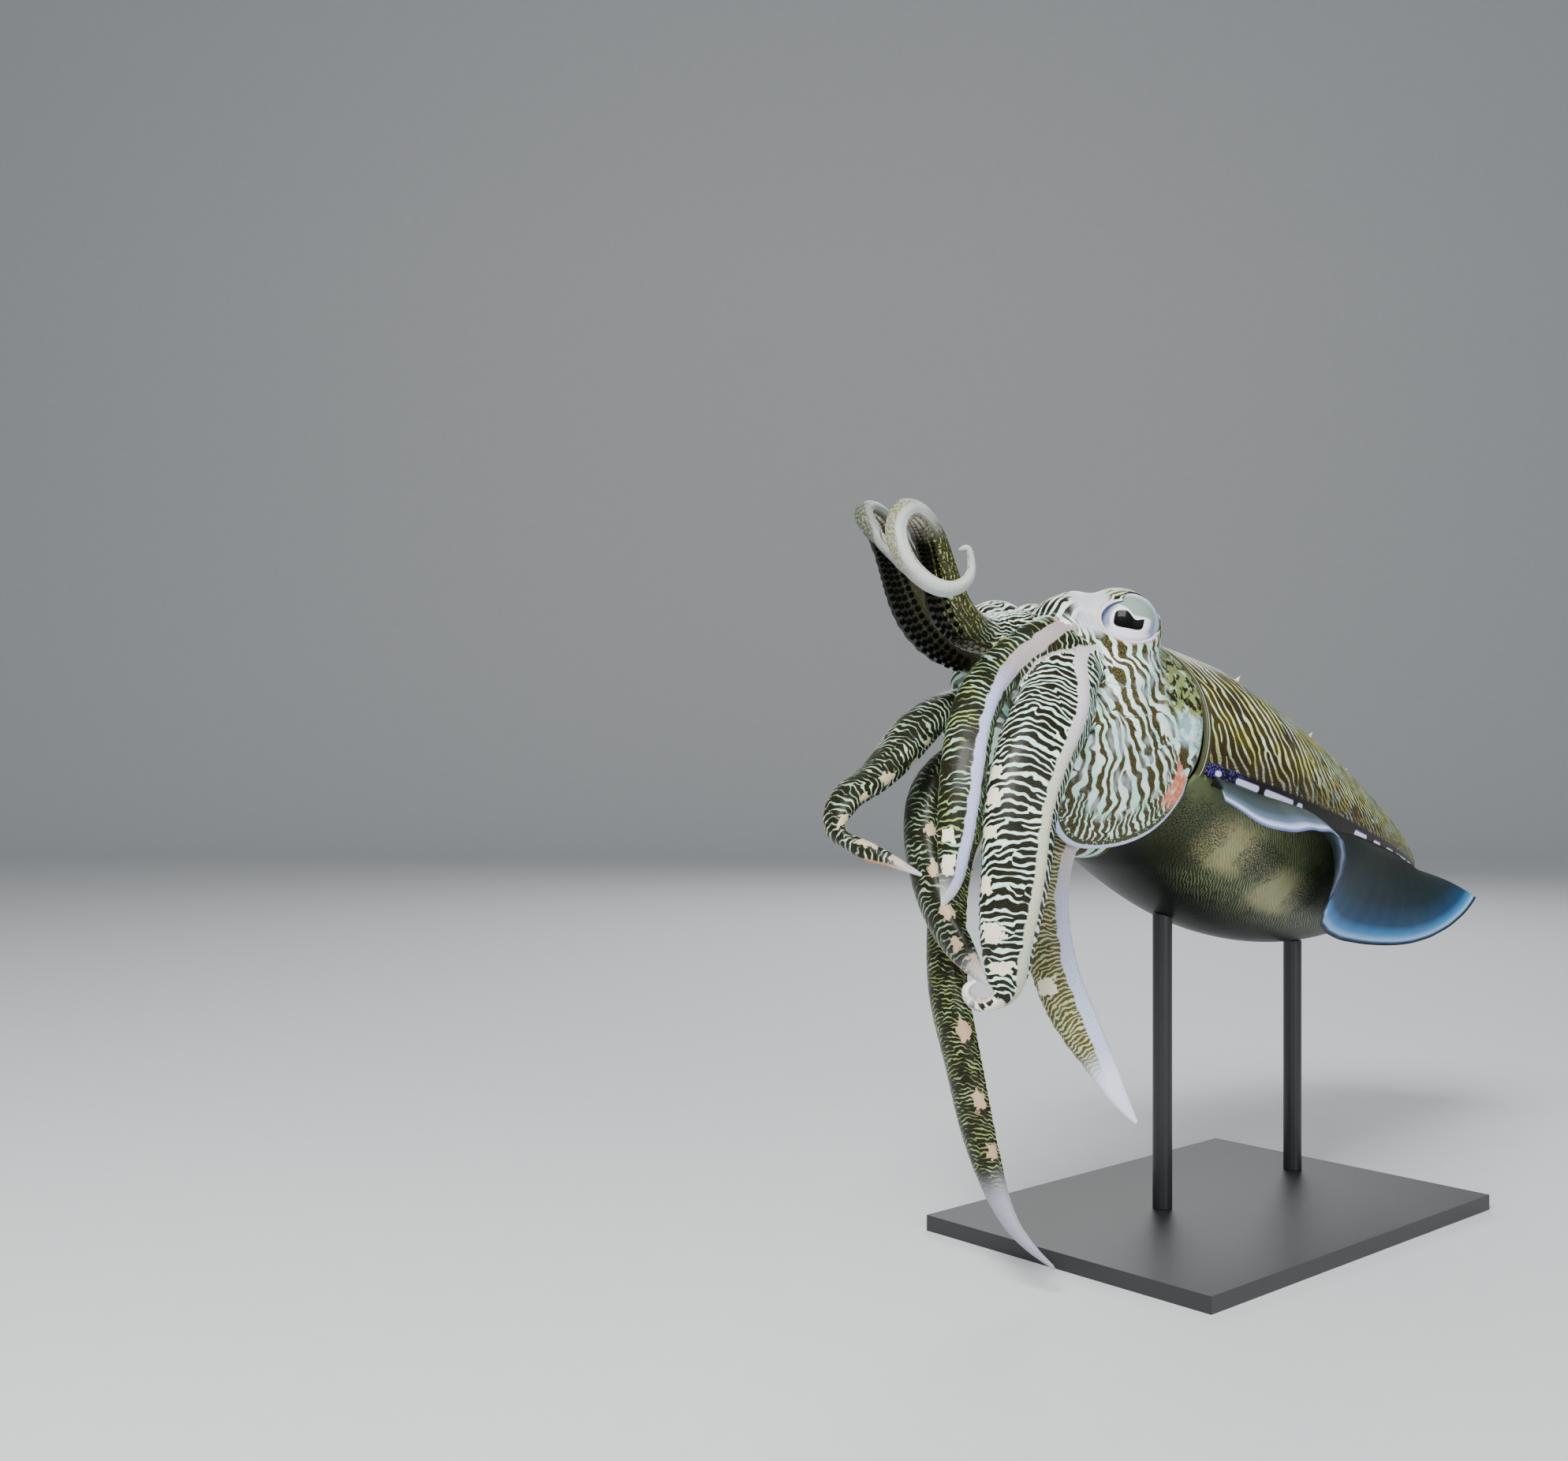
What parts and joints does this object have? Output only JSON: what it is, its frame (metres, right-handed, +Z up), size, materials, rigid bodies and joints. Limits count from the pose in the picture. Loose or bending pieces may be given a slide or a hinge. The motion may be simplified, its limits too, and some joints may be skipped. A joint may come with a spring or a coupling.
{
  "type": "pharaoh cuttlefish",
  "caption": "Life-size still display model of a male cuttlefish with raised and hanging arms, held on a flat plate by two rods.",
  "frame": {"origin": "middle of the bounding box, on the floor under the stand's plate", "axes": "+Z up; the animal faces -Y with its left side towards +X"},
  "size_m": [0.2246, 0.5014, 0.3559],
  "materials": {
    "mantle": "moist skin, fine pale oblique lines on olive brown",
    "head": "moist skin, mint-white and dark olive stripes",
    "arm": "moist skin, striped across, pale lavender edges",
    "fin": "translucent blue-grey membrane",
    "eye": "clear and glossy",
    "stand": "satin black"
  },
  "bodies": {
    "root": {"arm_1_left_base": "arm", "arm_1_left_middle": "arm", "arm_1_left_tip": "arm", "arm_1_right_base": "arm", "arm_1_right_middle": "arm", "arm_1_right_tip": "arm", "arm_2_left_base": "arm", "arm_2_left_middle": "arm", "arm_2_left_tip": "arm", "arm_2_right_base": "arm", "arm_2_right_middle": "arm", "arm_2_right_tip": "arm", "arm_3_left_base": "arm", "arm_3_left_middle": "arm", "arm_3_left_tip": "arm", "arm_3_right_base": "arm", "arm_3_right_middle": "arm", "arm_3_right_tip": "arm", "arm_4_left_base": "arm", "arm_4_left_middle": "arm", "arm_4_left_tip": "arm", "arm_4_right_base": "arm", "arm_4_right_middle": "arm", "arm_4_right_tip": "arm", "eye_left": "eye", "eye_right": "eye", "fin_left_front": "fin", "fin_left_rear": "fin", "fin_right_front": "fin", "fin_right_rear": "fin", "funnel": "head", "head": "head", "mantle": "mantle", "stand_base": "stand", "stand_rod_front": "stand", "stand_rod_rear": "stand"}
  },
  "joints": []
}
